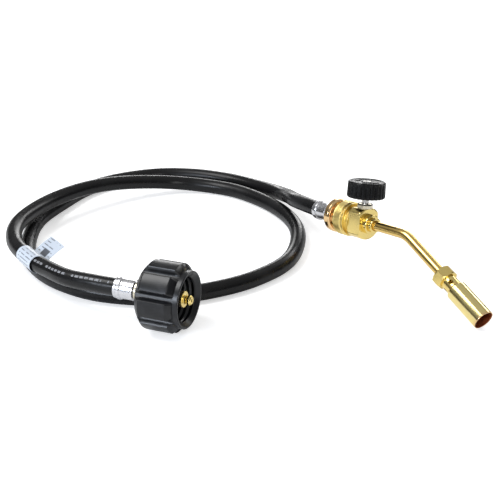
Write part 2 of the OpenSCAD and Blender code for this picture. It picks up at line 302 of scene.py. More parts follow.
# %% The hose's route
LOW = 7.0
MOUTH_X = -26 * MM
NUT_MOUTH_X = -59 * MM
ROUTE_MM = [
    (-138, -0.5, 29.5), (-156, 4, 26.5), (-175, 13.5, 21.5), (-195, 23, 15.5), (-218, 28.5, 11),
    (-246, 28, 8), (-280, 19, LOW), (-312, -1, LOW), (-336, -31, LOW),
    (-346, -72, LOW), (-341, -108, LOW), (-323, -142, LOW), (-296, -181, LOW),
    (-261, -208, LOW), (-222, -226, LOW), (-180, -230, LOW), (-140, -219, LOW),
    (-111, -198, LOW), (-92, -172, LOW), (-80, -135, LOW), (-78, -97, LOW),
    (-89, -57, LOW), (-119, -22, LOW), (-154, 0, LOW), (-197, 10, LOW),
    (-243, 7, LOW), (-275, -7, LOW), (-298, -34, 10), (-308, -70, 15.5),
    (-309, -108, 20.5), (-304, -144, 22), (-289, -183, 22), (-262, -217, 22),
    (-226, -236, 22), (-187, -240, 22), (-160, -238, 22.5), (-134, -235, 24.5),
]
route = [torch @ Vector((MOUTH_X, 0, 0))]
route += [Vector(p) * MM for p in ROUTE_MM]
route += [coupling @ Vector((NUT_MOUTH_X - 20 * MM, 0, 0)), coupling @ Vector((NUT_MOUTH_X, 0, 0))]


def on_route(points, i, t):
    """The smooth curve through the points: a share t past point i."""
    b, c = points[i], points[i + 1]
    a = points[i - 1] if i else 2 * b - c
    d = points[i + 2] if i + 2 < len(points) else 2 * c - b
    return 0.5 * (2 * b + (c - a) * t + (2 * a - 5 * b + 4 * c - d) * t**2 + (3 * b - a - 3 * c + d) * t**3)


def evenly(points, spacing):
    """The same curve with a point every spacing metres."""
    fine = [on_route(points, i, k / 40) for i in range(len(points) - 1) for k in range(40)] + [points[-1]]
    length = sum((b - a).length for a, b in zip(fine, fine[1:]))
    count = round(length / spacing)
    out, walked, target = [fine[0]], 0.0, length / count
    for a, b in zip(fine, fine[1:]):
        piece_length = (b - a).length
        while len(out) < count and walked + piece_length >= target * len(out) - 1e-12:
            out.append(a.lerp(b, (target * len(out) - walked) / piece_length))
        walked += piece_length
    return out + [fine[-1]], length


# %% The hose's length
HOSE_D = 13.5 * MM
RING_PITCH = 1.2 * MM
hose_line, hose_length = evenly(route, RING_PITCH / 2)
print("hose:", round(hose_length, 4), "m long,", len(hose_line), "rings")

# %% [markdown]
# Rubber is black but never evenly so: it is a little worn and dusty along the bends, and the
# mould's rings catch the light. The maker's print runs along the last stretch. Here it is a row
# of plain dashes. The mask comes from two numbers stored on the corners: the distance along the
# hose and the share of a turn round it.

# %% Finish: hose rubber
PRINT_FROM, PRINT_TO = hose_length - 0.105, hose_length - 0.004


def rubber_finish():
    f = Finish("hose_rubber", (0.005, 0.005, 0.0054), 0.3, specular_ior_level=0.24)
    along, turn = f.stored("along"), f.stored("turn")
    dust = f.noise(38, detail=4).step(0.45, 0.8)
    grain = f.noise(1400, detail=2)
    across = ((turn - 0.5).size() * 42).step(1.0, 0.85)
    dash = (along / (4.3 * MM)).part().step(0.72, 0.66)
    word = ((along / (31 * MM)).part()).step(0.84, 0.82)
    stretch = along.step(PRINT_FROM, PRINT_FROM + 0.5 * MM) * along.step(PRINT_TO, PRINT_TO - 0.5 * MM)
    ink = across * dash * word * stretch * f.noise(900).step(0.3, 0.45)
    tone = f.blend(dust * 0.35, (0.005, 0.005, 0.0054), (0.018, 0.018, 0.0185))
    f.set("Base Color", f.blend(ink, tone, (0.22, 0.225, 0.24)))
    f.set("Roughness", 0.26 + dust * 0.14 + ink * 0.2)
    f.bump(grain, 0.05, strength=0.35)
    return f.material


rubber = rubber_finish()

# %% Hose
HOSE_SIDES = 24
RING_DEPTH = 0.09 * MM
PRINT_LEAN = math.radians(38)


def tube_corners(line, start, end, radii, sides, lean=0.0):
    """Rings of corners round a line, upright at the first corner of each ring, turned by lean."""
    out = []
    for i, p in enumerate(line):
        if 0 < i < len(line) - 1:
            way = (line[i + 1] - line[i - 1]).normalized()
        else:
            way = start if i == 0 else end
        side = way.cross(Vector((0, 0, 1))).normalized()
        up = side.cross(way)
        for k in range(sides):
            angle = lean + math.tau * k / sides
            out.append(p + radii[i] * (math.cos(angle) * up + math.sin(angle) * side))
    return out


def capped(rows, sides):
    """The side faces of a tube, and one face over each end."""
    first = tuple(reversed(range(sides)))
    last = tuple(range((rows - 1) * sides, rows * sides))
    return grid_faces(rows, sides) + [first, last]


hose_radii = [HOSE_D / 2 - (RING_DEPTH if i % 2 else 0) for i in range(len(hose_line))]
hose_corners = tube_corners(
    hose_line, -inlet_dir, coupling.col[0].xyz, hose_radii, HOSE_SIDES, math.pi + PRINT_LEAN)
hose_step = hose_length / (len(hose_line) - 1)
hose = piece(
    "rubber_hose", hose_corners, capped(len(hose_line), HOSE_SIDES), rubber, HEAD,
    stored={
        "along": [i * hose_step for i in range(len(hose_line)) for _ in range(HOSE_SIDES)],
        "turn": [k / HOSE_SIDES for _ in hose_line for k in range(HOSE_SIDES)],
    },
    stands_for=("hose",),
)

# %% [markdown]
# ## Turned pieces
# A lathe makes a shape from one outline, so one function turns an outline of (x, radius) points
# about an axis. A sharp corner in metal never is quite sharp: `soften` swaps each corner for a
# small arc, with a point just before and after it that keeps the flats flat when they are shaded.
# A radius may be a function of the angle, which makes knurls, ribs and lobes in the same way.

# %% Turning
ARC_STEPS = 3
HOLD = 0.03


def soften(outline, size=0.25, closed=True):
    """The outline in millimetres with each corner swapped for a small arc."""
    out, count = [], len(outline)
    for i, corner in enumerate(outline):
        if not closed and i in (0, count - 1):
            out.append(corner)
            continue
        here = Vector(corner)
        before, after = Vector(outline[i - 1]) - here, Vector(outline[(i + 1) % count]) - here
        reach = min(size, 0.4 * before.length, 0.4 * after.length)
        start, end = here + before.normalized() * reach, here + after.normalized() * reach
        hold = min(HOLD, 0.1 * reach)
        out.append(tuple(start + before.normalized() * hold))
        for k in range(ARC_STEPS + 1):
            t = k / ARC_STEPS
            out.append(tuple((1 - t) ** 2 * start + 2 * t * (1 - t) * here + t * t * end))
        out.append(tuple(end + after.normalized() * hold))
    return out


def turned(axis, outline, sides=96, radius=None):
    """Corners and faces of a closed outline, in millimetres, turned about axis."""
    corners = []
    for x, r in outline:
        for k in range(sides):
            angle = math.tau * k / sides
            reach = radius(x, r, angle) if radius else r
            corners.append(axis @ (MM * Vector((x, reach * math.cos(angle), reach * math.sin(angle)))))
    return corners, grid_faces(len(outline), sides, closed_rows=True)


def turned_solid(axis, outline, sides=96):
    """As turned, for an open outline whose two ends lie on the axis."""
    rows = outline[1:-1]
    corners, faces = turned(axis, rows, sides)
    faces = faces[:-sides]
    first, last = len(corners), len(corners) + 1
    corners += [axis @ (MM * Vector((x, 0, 0))) for x, _ in (outline[0], outline[-1])]
    end = (len(rows) - 1) * sides
    faces += [(first, (k + 1) % sides, k) for k in range(sides)]
    faces += [(last, end + k, end + (k + 1) % sides) for k in range(sides)]
    return corners, faces


# %% [markdown]
# ## Brass
# Polished brass is a plain metal colour with a smooth surface. What makes it look real is small:
# the lathe leaves fine rings about each axis, fingers leave faint cloudy smears, and the metal is
# a little redder where it has tarnished. The rings are a bump, one wave every 0.35 mm, faded in
# and out by noise.

# %% Finish: brass
BRASS = (0.84, 0.66, 0.24)
RED_BRASS = (0.74, 0.40, 0.17)


def brass_finish(name, axis, color=BRASS, roughness=0.13, tarnish=0.25, rings=0.35):
    f = Finish(name, color, roughness, metallic=1.0)
    smear = f.noise(60, detail=4).step(0.35, 0.75)
    patch = f.noise(140, detail=5).step(0.5, 0.8)
    turning = (f.along(axis) * (math.tau / rings) + f.away_from(axis) * (math.tau / rings)).wave()
    f.set("Base Color", f.blend(patch * tarnish, color, RED_BRASS))
    f.set("Roughness", roughness + smear * 0.08 + patch * 0.05)
    f.bump(turning * (0.4 + smear * 0.6), 0.02, strength=0.25)
    return f


brass = brass_finish("machined_brass", torch).material
fitting_brass = brass_finish("fitting_brass", coupling, roughness=0.18).material

# %% [markdown]
# ## The inlet
# The hose's fitting ends in a flange with a one-inch thread in front of it, and the torch's own
# collar screws over that thread. Between the two a short stretch of thread stays open, and it is
# the darkest line on the head. Flange and thread are one turned piece: the thread is drawn as
# rings, because nobody can see from outside that a helix climbs.

# %% Hose adapter
def ridges(start, end, low, high, pitch):
    """Outline points of thread crests and roots, from start to end."""
    count = max(1, round((end - start) / pitch))
    out = []
    for i in range(count):
        x = start + i * (end - start) / count
        step = (end - start) / count
        out += [(x + 0.1 * step, low), (x + 0.4 * step, high)]
        out += [(x + 0.6 * step, high), (x + 0.9 * step, low)]
    return out


BARB_PITCH = 4.5
barb_starts = [-23 + i * BARB_PITCH for i in range(3)]
barb = [p for x in barb_starts for p in ((x, 3.5), (x + 3, 3.95), (x + 3.1, 3.5))]
adapter_outline = [(-24, 1.8), (-24, 3.5)] + barb[:-1] + [(-12, 3.5), (-12, 5.5), (-8.6, 5.5)]
flange_outline = [(-8.6, 6.6), (-3.5, 6.6), (-3.5, 12.8), (-2.1, 14.2)]
flange_outline += [(2.1, 14.2), (3.5, 12.8), (3.5, 11.6)]
adapter_outline += soften(flange_outline, 0.3, closed=False)
adapter_outline += ridges(3.7, 8.3, 11.5, 12.4, 1.27)
adapter_outline += [(8.5, 11.6), (17.3, 11.6), (17.3, 3.5), (2, 3.5), (2, 1.8)]
corners, faces = turned(torch, adapter_outline, 128)
copper_brass = brass_finish("copper_brass", torch, color=(0.84, 0.58, 0.29), tarnish=0.6).material
piece("hose_adapter_turned", corners, faces, copper_brass, HEAD, stands_for=("hose_adapter",))

# %% [markdown]
# ## The valve body
# The collar is knurled so that fingers can turn it. A knurl could be a bump, but its edge shows
# against the light, so each tooth is real: the radius rises and falls along two crossing spirals.
# The block behind it was turned too, then milled flat on both sides and on top, which is just a
# limit on the radius: no point may lie beyond a flat. The stem runs down through the block, so
# the block gets a stepped hole along the knob's axis. A lathe outline can't make a hole that
# crosses it, so a round cutter is taken away by a boolean, the way a drill would do it.

# %% Drilling
def drilled(target, drills):
    """target with every drill cut out of it; the drills are removed."""
    for tool in drills:
        cut = target.modifiers.new("drill", "BOOLEAN")
        cut.object, cut.operation, cut.solver = tool, "DIFFERENCE", "EXACT"
    bpy.context.view_layer.update()
    mesh = bpy.data.meshes.new_from_object(target.evaluated_get(bpy.context.evaluated_depsgraph_get()))
    target.modifiers.clear()
    target.data = mesh
    for tool in drills:
        bpy.data.objects.remove(tool)
    mesh.set_sharp_from_angle(angle=HARD_EDGE)


def drill(at, direction, radius, length):
    """A round cutter from at along direction."""
    corners, faces = turned_solid(
        axes(at, direction, (0.3, 0.5, 1)), [(0, 0), (0, radius), (length, radius), (length, 0)], 32)
    mesh = bpy.data.meshes.new("drill")
    mesh.from_pydata([tuple(c) for c in corners], [], faces)
    tool = bpy.data.objects.new("drill", mesh)
    bpy.context.scene.collection.objects.link(tool)
    return tool


# %% Knurled collar and valve block
KNURL_TEETH = 84
KNURL_DEPTH = 0.26
KNURL_FROM, KNURL_TO = 9.5, 16.6
FLAT_SIDE, FLAT_TOP = 10.0, 12.0


def knurled(x, r, angle):
    """Pyramids between two crossing spirals, on the collar's outside only."""
    if not (KNURL_FROM < x < KNURL_TO and r > 14):
        return r
    climb = KNURL_TEETH * x / r
    one_way = abs(math.sin((KNURL_TEETH * angle + climb) / 2))
    other_way = abs(math.sin((KNURL_TEETH * angle - climb) / 2))
    tooth = one_way * other_way
    return r - KNURL_DEPTH * (1 - tooth)


def milled(x, r, angle):
    """The block's radius where the flats leave metal."""
    side = FLAT_SIDE / max(abs(math.cos(angle)), 1e-6)
    top = FLAT_TOP / max(math.sin(angle), 1e-6)
    return min(r, side, top)


collar_outline = soften([(8.5, 12.7), (8.5, 13.7), (9.3, 14.5)], 0.2, closed=False)
collar_outline += [(KNURL_FROM + i * 0.3, 14.5) for i in range(25)]
collar_outline += soften(
    [(17, 14.5), (17.8, 13.7), (17.8, 13.1), (18.4, 13.1), (18.4, 13.9), (20, 13.9), (20, 11), (23.5, 11),
     (23.5, 10.2)], 0.25, closed=False)
collar_outline += [(19, 10.2), (19, 12.7)]
corners, faces = turned(torch, collar_outline, KNURL_TEETH * 5, knurled)
knurl_brass = brass_finish("knurled_brass", torch, roughness=0.3).material
piece("knurled_collar", corners, faces, knurl_brass, HEAD, stands_for=("valve_body",))

block_outline = soften([(23.5, 0), (23.5, 13.6), (37.5, 13.6), (37.5, 0)], 1.5, closed=False)
corners, faces = turned_solid(torch, block_outline, 240)
flat = [torch.inverted() @ c for c in corners]
corners = []
for p in flat:
    r, angle = math.hypot(p.y, p.z), math.atan2(p.z, p.y)
    reach = milled(p.x, r / MM, angle) * MM
    corners.append(torch @ Vector((p.x, reach * math.cos(angle), reach * math.sin(angle))))
valve_block = piece("valve_block", corners, faces, brass, HEAD)
drilled(valve_block, [
    drill(knob @ Vector((z * MM, 0, 0)), knob_up, radius, 20 - z) for z, radius in ((-3.5, 3.4), (8, 4.15))
])

boss_outline = soften([(37.4, 4), (37.4, 8), (42.5, 8), (42.5, 4)], 0.7)
corners, faces = turned(torch, boss_outline)
piece("outlet_boss", corners, faces, brass, HEAD)
collar_ring = soften([(42.6, 3.98), (42.6, 6), (46.5, 6), (46.5, 3.98)], 0.6)
corners, faces = turned(torch, collar_ring)
piece("brazing_collar", corners, faces, brass, HEAD, stands_for=("tube_collar",))

# %% [markdown]
# ## The burn tube
# One drawn tube, bent once. A tube's bend is an arc between two straight ends, so three rules
# give its centre line, and the same ring function that made the hose sweeps it.

# %% Burn tube
BEND_X, BEND_R, MIXER_X, TUBE_R = 81.0, 25.0, 49.8, 3.95
BEND_STEPS = 24
bend = math.radians(bend_deg)
bend_cut = BEND_R * math.tan(bend / 2)
tube_line = [Vector((x, 0, 0)) for x in (37.6, 50, BEND_X - bend_cut)]
for k in range(1, BEND_STEPS + 1):
    turn = bend * k / BEND_STEPS
    down = -BEND_R + BEND_R * math.cos(turn)
    tube_line.append(Vector((BEND_X - bend_cut + BEND_R * math.sin(turn), 0, down)))
after_bend = Vector((math.cos(bend), 0, -math.sin(bend)))
tube_line += [Vector((BEND_X, 0, 0)) + x * after_bend for x in (25, MIXER_X - 1)]
tube_line = [torch @ (p * MM) for p in tube_line]
corners = tube_corners(tube_line, inlet_dir, flame_dir, [TUBE_R * MM] * len(tube_line), 64)
DULL_BRASS = (0.78, 0.55, 0.18)
tube_brass = brass_finish("drawn_brass", burner, color=DULL_BRASS, roughness=0.16, rings=40).material
piece("bent_burn_tube", corners, capped(len(tube_line), 64), tube_brass, HEAD,
      stands_for=("burn_tube",))

# %% [markdown]
# ## Mixer and flame tube
# The mixer is turned from hexagon bar, and a lathe's chamfer cuts each of the six corners to a
# curve. That curve comes by itself from taking the smaller of two radii, the hexagon's and the
# chamfer's cone. Four air holes cross the sleeve behind the flame tube, and a boolean drills them.

# %% Air mixer
HEX_R = 9.2


def hexagon(x, r, angle):
    """The smaller of the chamfered round and the hexagon's own outline."""
    sector = (angle + math.pi / 2) % (math.pi / 3) - math.pi / 6
    return min(r, HEX_R * math.cos(math.pi / 6) / math.cos(sector))


mixer_brass = brass_finish("mixer_brass", burner, roughness=0.17).material
hex_outline = soften([(-4.5, 4.05), (-4.5, 8.0), (-3.3, 9.3), (3.0, 9.3), (4.2, 8.0), (4.2, 4.05)], 0.15)
corners, faces = turned(burner, hex_outline, 192, hexagon)
piece("mixer_hexagon", corners, faces, mixer_brass, HEAD, stands_for=("air_mixer",))
sleeve_outline = soften([(4.1, 4.8), (4.1, 6.3), (15, 6.3), (15, 4.8)], 0.2)
corners, faces = turned(burner, sleeve_outline)
sleeve = piece("mixer_sleeve", corners, faces, mixer_brass, HEAD)
hole_at = burner @ Vector((9 * MM, 0, 0))
turns = [math.radians(45 + 90 * i) for i in range(4)]
drilled(sleeve, [
    drill(hole_at, burner.to_3x3() @ Vector((0, -math.sin(t), math.cos(t))), 1.9, 12) for t in turns
])

# %% [markdown]
# The flame tube is drawn brass, and heat has worked on it: brown scale inside, and a warmer tone
# on the last few millimetres before the mouth. One finish does all of it. It reads two distances,
# how far along the tube a point is and how far from the middle, and blends by them.

# %% Finish: flame tube
def flame_finish():
    """Bright drawn brass outside, and copper-brown scale inside and at the mouth."""
    f = brass_finish("flame_tube_brass", burner, roughness=0.15, tarnish=0.15, rings=40)
    depth = f.away_from(burner)
    inside = depth.step(7.9, 7.5)
    scale = f.noise(260, detail=5).step(0.3, 0.7)
    outside = f.blend(f.along(burner).step(44, 47) * 0.5, (0.85, 0.71, 0.31), (0.85, 0.46, 0.27))
    burnt = f.blend(scale, (0.19, 0.036, 0.01), (0.36, 0.09, 0.026))
    f.set("Base Color", f.blend(inside, outside, burnt))
    f.set("Roughness", 0.15 + inside * 0.3 + f.noise(70, detail=4).step(0.4, 0.8) * 0.06)
    f.set("Metallic", 1 - inside * 0.35)
    return f.material


# %% Flame tube
flame_brass = flame_finish()
flame_outline = soften([(13.2, 6.36), (13.2, 7.2), (14.3, 8.25), (46.8, 8.25), (46.8, 7.35), (24.5, 7.35),
                        (24.5, 7.1), (14.4, 7.1), (14.4, 6.36)], 0.35)
corners, faces = turned(burner, flame_outline, 128)
piece("flame_tube_drawn", corners, faces, flame_brass, HEAD, stands_for=("flame_tube",))

# %% [markdown]
# ## The knob
# A moulded knob has three things that a plain cylinder hasn't: finger grooves that fade out before
# the top, a lip round the top, and marks raised in the lip's hollow. The grooves are a change of
# radius with the angle again. The marks here are two curved arrows, which say nothing but "turn".

# %% Finish: moulded black plastic
def plastic_finish(name, color, roughness, grain_mm, gloss):
    f = Finish(name, color, roughness, specular_ior_level=gloss)
    wear = f.noise(90, detail=5).step(0.5, 0.8)
    lift = tuple(c * 1.9 + 0.004 for c in color)
    f.set("Base Color", f.blend(wear, color, lift))
    f.set("Roughness", roughness + wear * 0.1)
    f.bump(f.noise(1800, detail=2), grain_mm, strength=0.3)
    return f.material


knob_plastic = plastic_finish("knob_plastic", (0.003, 0.003, 0.0032), 0.22, 0.03, 0.2)

# %% Control knob
RIBS = 24
GROOVE = 0.95
KNOB_Z, KNOB_TOP = 21.0, 34.6


def ribbed(x, r, angle):
    """Finger grooves down the knob's side."""
    if r < 14.4:
        return r
    fade = min(1.0, max(0.0, (KNOB_TOP - 1.2 - x) / 1.6))
    return r - GROOVE * fade * (0.5 + 0.5 * math.cos(RIBS * angle)) ** 2.5


knob_outline = soften([(KNOB_Z, 12.5), (KNOB_Z, 14.9), (KNOB_Z + 1.3, 15.8)], 0.3, closed=False)
knob_outline += [(KNOB_Z + 1.3 + 11.0 * k / 8, 15.8 - 0.28 * k / 8) for k in range(1, 8)]
knob_outline += soften(
    [(KNOB_TOP - 1.0, 15.5), (KNOB_TOP, 14.6), (KNOB_TOP, 13.4), (KNOB_TOP - 0.6, 12.9),
     (KNOB_TOP - 0.45, 5.6), (KNOB_TOP, 5.2), (KNOB_TOP, 3.7), (KNOB_TOP - 2, 3.7), (KNOB_TOP - 2, 2.8),
     (KNOB_Z + 0.5, 2.8), (KNOB_Z + 0.5, 5.5), (KNOB_Z + 7.5, 5.5), (KNOB_Z + 7.5, 12.5)],
    0.3, closed=False)
corners, faces = turned(knob, knob_outline, RIBS * 12, ribbed)
piece("ribbed_knob", corners, faces, knob_plastic, "stem", stands_for=("control_knob",))


def raised_arrow(name, start, sweep, floor_x=KNOB_TOP - 0.6, height=0.55):
    """A curved arrow that stands on the hollow of the knob's top."""
    shaft, head, mid, half = 18, 7, 8.9, 0.75
    rims = []
    for i in range(shaft + 1):
        rims.append((start + sweep * i / shaft, mid - half, mid + half))
    for i in range(head + 1):
        wide = 2.1 * (1 - i / head) + 0.05
        rims.append((start + sweep + math.copysign(0.36, sweep) * i / head, mid - wide, mid + wide))
    corners = []
    for angle, inner, outer in rims:
        top_x = floor_x + height
        for x, r in ((floor_x, inner), (top_x, inner + 0.04), (top_x, outer - 0.04), (floor_x, outer)):
            corners.append(knob @ (MM * Vector((x, r * math.cos(angle), r * math.sin(angle)))))
    piece(name, corners, capped(len(rims), 4), knob_plastic, "stem")


raised_arrow("turn_mark_a", 0.4, 1.5)
raised_arrow("turn_mark_b", 0.4 + math.pi, 1.5)

# %% [markdown]
# A thin black ring lies on the gland nut, round the stem. What it is for can't be told from outside; it may keep
# dirt out of the packing. It is painted shade and reflection: a dark piece put where the gland nut's top face
# lies in shade and mirrors the black knob. It is one small turned ring, so the outline needs only four corners.

# %% Painted shade and reflection ring on the gland nut
# Painted shade and reflection: this black finish and ring stand for the knob mirrored dark in the gland nut's top
# face.
seal_rubber = plastic_finish("painted_reflection_black", (0.006, 0.006, 0.006), 0.5, 0.05, 0.3)
reflection_ring_outline = soften([(14.95, 5.33), (14.95, 6.1), (15.9, 6.1), (15.9, 5.33)], 0.2)
corners, faces = turned(knob, reflection_ring_outline)
piece("painted_reflection_ring", corners, faces, seal_rubber, HEAD)

# %% [markdown]
# ## The coupling nut
# Eight broad lobes give the hand its grip. In cross-section a lobe is a step in the radius with a
# soft climb on each side, and along the nut the lobes start and stop with a cone. Inside is a
# coarse thread, and here the helix does show, so its ridge follows the angle as well as the axis.

# %% Coupling nut
LOBES = 8
LOBE_R, BARREL_R, BORE_R = 26.0, 21.5, 16.65
THREAD_PITCH, THREAD_DEPTH = 4.2, 1.15
LOBE_ANGLE, CLIMB_ANGLE = math.radians(14.2), math.radians(19.2)


def smooth(t):
    t = min(1.0, max(0.0, t))
    return t * t * (3 - 2 * t)


def lobed(x, r, angle):
    """r is the reach allowed at x: lobes rise to it, and the barrel stays at its own radius."""
    if r > BARREL_R:
        sector = abs((angle + math.pi / LOBES) % (math.tau / LOBES) - math.pi / LOBES)
        rise = 1 - smooth((sector - LOBE_ANGLE) / (CLIMB_ANGLE - LOBE_ANGLE))
        return BARREL_R + (r - BARREL_R) * rise
    if BORE_R - 0.01 < r < BORE_R + 0.01 and -30.9 < x < -2.9:
        share = (x / THREAD_PITCH + angle / math.tau) % 1
        return r + THREAD_DEPTH * smooth(2.2 * min(share, 1 - share) - 0.1)
    return r


nut_outline = soften(
    [(-34, 9.15), (-34, 20.6), (-33.2, BARREL_R), (-33, BARREL_R + 0.05)], 0.3, closed=False)
nut_outline += soften([(-32.9, 22.1), (-29.2, LOBE_R), (-7.9, LOBE_R), (-4.1, 22.1)], 0.6, closed=False)
nut_outline += soften(
    [(-4, BARREL_R), (-0.5, BARREL_R), (0, 21.1), (0, 20.0), (-3, BORE_R + 0.02)], 0.3, closed=False)
nut_outline += [(-3 - 0.35 * k, BORE_R) for k in range(81)]
nut_outline += soften([(-31, BORE_R - 0.02), (-31, 9.15)], 0.3, closed=False)
corners, faces = turned(coupling, nut_outline, LOBES * 32, lobed)
nut_plastic = plastic_finish("nut_plastic", (0.0045, 0.0048, 0.006), 0.3, 0.06, 0.4)
piece("lobed_nut", corners, faces, nut_plastic, "coupling", stands_for=("coupling_nut",))

# %% [markdown]
# ## Nose and nipple
# The nose is what seals in the cylinder's valve: a bright round tip on a short waist, in front of
# a broad shoulder. All of it is one outline.

# %% Nose
tip_outline = [(-9, 3.55), (-4.9, 3.55), (-4.9, 6.2), (-3.6, 6.2), (-3.6, 3.2), (-1.6, 3.0)]
tip_outline += [(-0.8, 3.9), (0.9, 3.9), (2, 2.7), (2, 1.2), (-1.5, 1.1)]
nose_outline = [(-9, 0)] + soften(tip_outline, 0.45, closed=False) + [(-1.6, 0)]
corners, faces = turned_solid(coupling, nose_outline)
piece("nose_turned", corners, faces, fitting_brass, HEAD, stands_for=("nipple_nose",))

# %% [markdown]
# ## Ferrules
# A ferrule is a steel cup crimped over the hose's end. The crimping jaws leave a row of shallow
# flats with soft ridges between them, and the cup's mouth, which the jaws don't reach, stays a
# little wider. Bright zinc is nearly white, with a faint blue cast and fine scratches.

# %% Ferrules
CRIMPS = 8


def zinc_finish():
    f = Finish("zinc_plate", (0.66, 0.66, 0.68), 0.24, metallic=1.0)
    scratch = f.noise(500, detail=3, stretch=(1, 1, 6)).step(0.4, 0.7)
    cloud = f.noise(80, detail=4).step(0.4, 0.75)
    f.set("Base Color", f.blend(cloud * 0.5, (0.66, 0.66, 0.68), (0.48, 0.49, 0.52)))
    f.set("Roughness", 0.2 + scratch * 0.1 + cloud * 0.08)
    f.bump(f.noise(700, detail=3), 0.015, strength=0.2)
    return f.material


zinc = zinc_finish()


def crimped_ferrule(name, axis, mouth_x, node):
    """A ferrule from its mouth at mouth_x, 17 mm long."""

    def crimped(x, r, angle):
        pressed = smooth((x - mouth_x - 6.4) / 1.2) * smooth((mouth_x + 15.4 - x) / 1.2)
        if r < 7.4:
            return r
        return r - 0.2 * pressed * (0.5 - 0.5 * math.cos(CRIMPS * angle)) ** 0.6

    outside = [(0, 6.85), (0, 7.7), (0.5, 8.05), (2.6, 8.05), (3.0, 8.55), (5.0, 8.55), (5.9, 7.8)]
    outline = [(mouth_x + x, r) for x, r in outside]
    outline = soften(outline, 0.3, closed=False)
    outline += [(mouth_x + 6.2 + 0.6 * k, 7.8) for k in range(17)]
    front = [(15.9, 7.8), (17, 6.8), (17, 5.6), (15, 5.6), (15, 6.85)]
    outline += soften([(mouth_x + x, r) for x, r in front], 0.3, closed=False)
    corners, faces = turned(axis, outline, CRIMPS * 16, crimped)
    piece(name, corners, faces, zinc, HEAD, stands_for=(node,))


crimped_ferrule("torch_ferrule_crimped", torch, -26, "torch_end_ferrule")
crimped_ferrule("tank_ferrule_crimped", coupling, -59, "tank_end_ferrule")

# %% [markdown]
# ## The label
# A printed film goes once round the hose, and what is left over stands off it as a flag. On the
# real one the flag may be two layers stuck face to face. Here it is one: in cross-section the
# path starts at the flag's tip, runs in to the hose and goes once round it, and gets a thickness.
# The flag rises towards its tip and bends over slightly. The print is a few broken rules and one
# solid bar, which look like print and say nothing.

# %% Label
LABEL_W, FLAG_L, FILM_R, FILM_T = 25.5, 15.0, 7.15, 0.22
FLAG_RISE = 11.0
PRINT_SPAN = 75
label_mid = Vector((-187, -240, 22)) * MM
label_frame = Matrix.Translation(label_mid) @ Matrix.Rotation(math.radians(-2), 4, "Z")


def label_path():
    """(across, up) from the flag's tip, in along its top, and once round the hose."""
    out = [(FILM_R + 1.6 + FLAG_L * (1 - k / 14), 0.0) for k in range(14)]
    lean = math.asin(0.12)
    out += [(FILM_R * 1.16 * math.cos(a) ** 0.5, FILM_R * 0.3 * math.sin(a)) for a in (0.0, 0.3)]
    out += [(FILM_R * math.cos(lean + 0.12 * k), FILM_R * math.sin(lean + 0.12 * k)) for k in range(3, 50)]
    return out


path = label_path()
rows = []
walked = 0.0
for i, (across, up) in enumerate(path):
    if i:
        walked += math.dist(path[i - 1], (across, up))
    reach = max(0.0, (across - FILM_R) / FLAG_L)
    rows.append((across, up + FLAG_RISE * reach - 2.2 * reach * reach, walked))
STRIPS = 12
corners, print_x, print_y = [], [], []
for side in (1, -1):
    for i, (across, up, distance) in enumerate(rows):
        nearby = rows[min(i + 1, len(rows) - 1)][:2], rows[max(i - 1, 0)][:2]
        way = Vector((nearby[0][0] - nearby[1][0], nearby[0][1] - nearby[1][1])).normalized()
        out = Vector((way.y, -way.x)) * (-FILM_T / 2 * side)
        for k in range(STRIPS + 1):
            x = LABEL_W * (k / STRIPS - 0.5)
            curl = 0.35 * max(0.0, (across - FILM_R) / FLAG_L) * math.sin(3.1 * k / STRIPS)
            corners.append(label_frame @ (MM * Vector((x, across + out.x, up + out.y + curl))))
            print_x.append(k / STRIPS)
            print_y.append(distance / PRINT_SPAN)
columns, count = STRIPS + 1, len(rows)
print("label strip:", round(rows[-1][2], 1), "mm along its path,", LABEL_W, "mm wide")


def top(i, k):
    """The corner of the upper side in row i and column k."""
    return i * columns + k


def low(i, k):
    """The corner of the lower side in row i and column k."""
    return (count + i) * columns + k


faces = []
for i in range(count - 1):
    for k in range(STRIPS):
        faces.append((top(i, k), top(i, k + 1), top(i + 1, k + 1), top(i + 1, k)))
        faces.append((low(i, k), low(i + 1, k), low(i + 1, k + 1), low(i, k + 1)))
    faces.append((top(i, 0), top(i + 1, 0), low(i + 1, 0), low(i, 0)))
    faces.append((top(i, STRIPS), low(i, STRIPS), low(i + 1, STRIPS), top(i + 1, STRIPS)))
for k in range(STRIPS):
    faces.append((top(0, k), low(0, k), low(0, k + 1), top(0, k + 1)))
    end = count - 1
    faces.append((top(end, k), top(end, k + 1), low(end, k + 1), low(end, k)))


def label_finish():
    f = Finish("label_film", (0.5, 0.55, 0.62), 0.3, specular_ior_level=0.45)
    x, y = f.stored("print_x"), f.stored("print_y")
    rule = (y * 26).part().step(0.3, 0.36) * (y * 26).part().step(0.62, 0.56)
    ragged = f.noise(230, detail=1, stretch=(1, 1, 0.2)).step(0.42, 0.5)
    inside = x.step(0.1, 0.12) * x.step(0.92, 0.9)
    lines = rule * ragged * inside * 0.75
    bar = y.step(0.12, 0.13) * y.step(0.2, 0.19) * x.step(0.34, 0.36) * x.step(0.74, 0.72)
    ink = lines.math("MAXIMUM", lines * (1 - bar), bar * 0.9)
    f.set("Base Color", f.blend(ink, (0.5, 0.55, 0.62), (0.02, 0.022, 0.028)))
    f.set("Roughness", 0.28 + ink * 0.2)
    f.bump(f.noise(160, detail=2), 0.3, strength=0.2)
    return f.material


piece("film_label", corners, faces, label_finish(), HEAD,
      stored={"print_x": print_x, "print_y": print_y}, stands_for=("hose_label",))

# %% [markdown]
# ## Pieces that keep their CAD shape
# The stem, the gland nut, the screw and everything inside are already right, so they only get a
# finish. A table of finishes and nodes is shorter than a cell for each.

